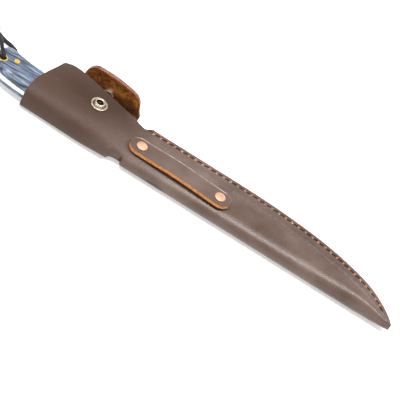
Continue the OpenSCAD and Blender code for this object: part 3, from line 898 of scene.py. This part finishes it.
def add_stitches(name, side, node):
    """Each stitch is a short waxed thread, laid slanted in the groove, whose ends dive into the leather."""
    rnd = random.Random(11 if side > 0 else 12)
    parts = []
    for x in stitch_places():
        cx, cy = seam_inset(x, STITCH_INSET)
        heading = math.atan(seam_slope(x)) + math.radians(11 + rnd.uniform(-4, 4))
        half = 1.75 + rnd.uniform(-0.2, 0.2)
        surface = (front_z(cx, cy) - 0.25) if side > 0 else (rear_z(cx, cy) + 0.25)
        line = []
        for k in range(13):
            s = -1 + 2 * k / 12
            rise = 0.42 * (1 - abs(s) ** 3) - 0.5 * max(0, abs(s) - 0.8) / 0.2
            line.append(Vector((cx + s * half * math.cos(heading), cy + s * half * math.sin(heading),
                                surface + side * rise)))
        rings = []
        for p, sd, up, gone in frames_along(line):
            ring = []
            for k in range(10):
                a = 2 * math.pi * k / 10
                r = 0.4 + 0.06 * math.cos(2 * a - gone * 5.5)
                ring.append(p + r * (sd * math.cos(a) + up * math.sin(a)))
            rings.append(ring)
        parts.append(loft(rings))
    make_mesh(name, *joined(parts), [THREAD], "sheath", "thread", [node], sharp=0)


HOLE_RING = [(0.0, -0.3), (0.75, -0.3), (0.86, 0.0), (0.72, 0.16), (0.5, 0.2), (0.32, 0.08), (0.24, -0.1),
             (0.0, -0.14)]
WAX_SPECK = [(0.0, -0.2), (0.3, -0.2), (0.34, 0.1), (0.2, 0.3), (0.0, 0.34)]


def add_stitch_holes():
    """The punched holes between the stitches, each with raw leather pushed up round it and a wax speck."""
    rnd = random.Random(5)
    places = stitch_places()
    parts = []
    for a, b in zip(places, places[1:]):
        cx, cy = seam_inset((a + b) / 2 + rnd.uniform(-0.4, 0.4), STITCH_INSET + rnd.uniform(-0.3, 0.3))
        z = front_z(cx, cy) - 0.3
        big = rnd.uniform(0.75, 1.2)
        parts.append(lathe([(r * big, h) for r, h in HOLE_RING], (cx, cy, z), 16))
        side = rnd.choice((-0.9, 0.9))
        points, faces, _ = lathe([(r * big, h) for r, h in WAX_SPECK],
                                 (cx + 0.5 * side, cy - 0.9 + 0.2 * side, z), 8)
        parts.append((points, faces, [1] * len(faces)))
    make_mesh("stitch_holes", *joined(parts), [RAW, WAX], "sheath", "leather_edge")


# ---------------------------------------------------------------- belt strap
STRAP_W, STRAP_T, STRAP_ARCH, STRAP_END = 14.5, 2.7, 0.9, 8.4


def strap_arch(s):
    return STRAP_ARCH * math.sin(math.pi * max(0.0, min(1.0, (s - 3) / (RIVET_GAP - 6)))) ** 1.3


def add_strap():
    length = RIVET_GAP + 2 * STRAP_END
    rows = []
    round_end = STRAP_W / 2
    ss = [round_end * (1 - math.cos(math.pi / 2 * k / 12)) for k in range(13)]
    ss = (ss + [round_end + (length - 2 * round_end) * k / 60 for k in range(1, 60)]
          + [length - s for s in reversed(ss)])
    c, sn = math.cos(STRAP_TURN), math.sin(STRAP_TURN)
    for s in ss:
        from_end = min(s, length - s)
        half = math.sqrt(max(0.02, round_end ** 2 - max(0.0, round_end - from_end) ** 2))
        half *= 1 - 0.02 * wobble(s, 0, 0, 20, 4)
        at = s - STRAP_END
        base = CROWN_Z + strap_arch(at)
        near = min(abs(at), abs(at - RIVET_GAP))
        press = 0.22 * math.exp(-(near / 4.6) ** 4)
        ring, kinds = [], []
        for k in range(15):
            t = -1 + 2 * k / 14
            roll = 0.3 * max(0.0, (abs(t) - 0.86) / 0.14) ** 2
            z = base + STRAP_T - roll - press * (1 - t * t) + 0.05 * wobble(s, t * 7, 0, 5, 7)
            ring.append((at, t * half, z))
            kinds.append(0)
        # Kind 3, on the upper rounded edge only, takes the painted highlight line.
        kinds[-2:] = [3, 1]
        ring += [(at, half, base + STRAP_T * 0.5), (at, half * 0.985, base + 0.1)]
        kinds += [1, 2]
        for k in range(1, 8):
            ring.append((at, half * 0.985 * (1 - 2 * k / 8), base + 0.02))
            kinds.append(2)
        ring += [(at, -half * 0.985, base + 0.1), (at, -half, base + STRAP_T * 0.5)]
        kinds += [1, 1]
        rows.append([(RIVET_X + p[0] * c - p[1] * sn, RIVET_Y + p[0] * sn + p[1] * c, p[2]) for p in ring])
    make_mesh("belt_strap_leather", *loft(rows, kinds, cap_mat=1), [STRAP_GRAIN, RAW, FLESH, EDGE_HIGHLIGHT],
              "sheath", "leather", ["belt_strap"], sharp=50)


def add_stud():
    """The ring snap's stud: a rolled flange on the leather and a hollow knob."""
    profile = [(0, 0.02), (5.9, 0.02), (6.1, 0.25), (6.0, 0.62), (5.6, 0.88), (5.1, 0.84), (4.7, 0.6),
               (4.3, 0.52), (4.0, 0.62), (3.75, 0.95), (3.62, 1.5), (3.7, 1.95), (3.62, 2.3), (3.35, 2.5),
               (3.0, 2.5), (2.6, 2.3), (2.35, 1.9), (2.25, 0.7), (0, 0.6)]
    make_mesh("snap_stud_ring", *lathe(profile, (0, 0, COLLAR_Z)), [NICKEL], "sheath", "nickel",
              ["snap_stud"], sharp=0)


def add_rivet_caps():
    dome = [(0, 0), (3.75, 0), (3.9, 0.12), (3.92, 0.35), (3.8, 0.66), (3.55, 0.86), (3.25, 0.9), (3.05, 0.8),
            (2.9, 0.82), (2.4, 0.92), (1.6, 1.0), (0.8, 1.04), (0, 1.05)]
    along_strap = math.cos(STRAP_TURN), math.sin(STRAP_TURN)
    foot = CROWN_Z + STRAP_T - 0.2
    parts = [lathe(dome, (RIVET_X + s * along_strap[0], RIVET_Y + s * along_strap[1], foot))
             for s in (0, RIVET_GAP)]
    make_mesh("belt_rivet_domes", *joined(parts), [COPPER], "sheath", "copper", ["belt_rivet_caps"], sharp=60)


# ---------------------------------------------------------------- flap
FLAP_X0, FLAP_X1 = -17.7, 26.1
FLAP_TOP = [(-17.7, 24.4), (-5, 25.0), (4, 24.6), (14, 22.2), (26, 18.6)]
KNEE_R = 2.2
CURL_FROM = 15.0


def flap_line(s):
    """(y, z, direction) at distance s from the fold along the flap's middle line."""
    flat = KNEE_Y - KNEE_R - FLAP_ROOT_Y
    bend = KNEE_R * math.pi / 2
    if s < flat:
        return FLAP_ROOT_Y + s, LEATHER / 2, 0.0
    if s < flat + bend:
        a = (s - flat) / KNEE_R
        return KNEE_Y - KNEE_R + KNEE_R * math.sin(a), LEATHER / 2 + KNEE_R * (1 - math.cos(a)), a
    up = s - flat - bend
    z = LEATHER / 2 + KNEE_R + up
    over = max(0.0, up - (CURL_FROM - LEATHER / 2 - KNEE_R))
    return KNEE_Y - 0.018 * over ** 2, z - 0.012 * over ** 1.8, math.pi / 2 + 0.036 * over


def add_flap():
    flat_and_bend = KNEE_Y - KNEE_R - FLAP_ROOT_Y + KNEE_R * math.pi / 2
    rows_n, cols = 60, 76

    def top_length(v, x):
        height = along(FLAP_TOP, x) - LEATHER / 2 - KNEE_R
        corner = 6.0
        side = min(v, 1 - v) * (FLAP_X1 - FLAP_X0)
        cut = corner - math.sqrt(max(0.0, corner ** 2 - max(0.0, corner - side) ** 2))
        return flat_and_bend + height - cut

    def grid(sign):
        rows = []
        for i in range(rows_n + 1):
            v = i / rows_n
            x = lerp(FLAP_X0, FLAP_X1, v)
            length = top_length(v, x)
            row = []
            for j in range(cols + 1):
                s = length * j / cols
                y, z, a = flap_line(s)
                rise = max(0.0, z - 4) / 20
                lean = 3.1 * smooth((z - 12) / 12) - 2.8 * smooth((z - 3) / 6)
                px = x + (1 - v) * lean - v * (5.2 * rise + 1.3 * smooth((z - 3) / 6))
                bulge = 0.35 * wobble(px, 0, z, 16, 9) * rise
                h = LEATHER / 2 + (0.05 * wobble(px, y, z, 3, 6))
                row.append((px, y - sign * h * math.sin(a) + bulge, z + sign * h * math.cos(a)))
            rows.append(row)
        return rows

    outer, inner = grid(-1), grid(1)
    points, faces, mats = shell(outer, inner, (0, 1, 3, 2))
    piece = make_mesh("flap_leather", points, faces, mats, [GRAIN, FLESH, WORN, BURNISHED], None, "leather",
                      ["flap"], sharp=50)
    edge_rounding(piece, 0.4)
    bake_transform(piece)


# ---------------------------------------------------------------- carried-over CAD pieces
def finish_cad(node, material, bevel=0.0):
    piece = nodes[node]
    for slot in piece.material_slots:
        slot.material = material
    if not piece.material_slots:
        piece.data.materials.append(material)
    if bevel:
        edge_rounding(piece, bevel, angle=30)


def add_cad_looks():
    finish_cad("blade", STEEL, bevel=0.12)
    for node in ("scale_front", "scale_rear"):
        finish_cad(node, WOOD)
    for node in ("handle_pins", "lanyard_tube"):
        finish_cad(node, BRASS, bevel=0.25)
    finish_cad("belt_rivet_posts", COPPER)
    for node in ("snap_stud_eyelet", "snap_cap", "snap_socket", "snap_spring"):
        finish_cad(node, NICKEL, bevel=0.12 if node != "snap_spring" else 0)


# ---------------------------------------------------------------- stage
def add_stage():
    bpy.context.scene.view_settings.view_transform = "Standard"
    floor_mesh = bpy.data.meshes.new("floor")
    size = 3.0
    corner_points = [(-size, -size, 0), (size, -size, 0), (size, size, 0), (-size, size, 0)]
    floor_mesh.from_pydata(corner_points, [], [(0, 1, 2, 3)])
    floor_mesh.materials.append(floor_material())
    floor = bpy.data.objects.new("floor", floor_mesh)
    bpy.context.scene.collection.objects.link(floor)
    world = bpy.data.worlds.new("studio")
    bpy.context.scene.world = world
    world.use_nodes = True
    background = world.node_tree.nodes["Background"]
    background.inputs["Color"].default_value = (1, 1, 1, 1)
    background.inputs["Strength"].default_value = 0.45

    def soft_box(name, place, aim, size_m, power):
        light = bpy.data.lights.new(name, "AREA")
        light.shape = "RECTANGLE"
        light.size, light.size_y = size_m
        light.energy = power
        lamp = bpy.data.objects.new(name, light)
        bpy.context.scene.collection.objects.link(lamp)
        lamp.location = place
        lamp.rotation_euler = (Vector(aim) - Vector(place)).to_track_quat("-Z", "Y").to_euler()

    soft_box("key", (0.15, -0.14, 1.0), (0.12, -0.01, 0), (1.7, 0.07), 20)
    soft_box("back", (0.35, 0.75, 0.75), (0.1, 0, 0), (1.4, 0.9), 3.4)
    soft_box("front", (0.1, -0.9, 0.4), (0.1, 0, 0), (1.4, 0.3), 0.5)
    soft_box("left", (-0.9, -0.1, 0.6), (0.0, 0, 0), (0.5, 0.5), 2)


add_camera()
add_lanyard()
add_sheath_leather()
add_wing()
add_welt()
add_stitches("needle_stitches", 1, "needle_thread")
add_stitches("bobbin_stitches", -1, "bobbin_thread")
add_stitch_holes()
add_strap()
add_rivet_caps()
add_stud()
add_flap()
add_cad_looks()
add_stage()
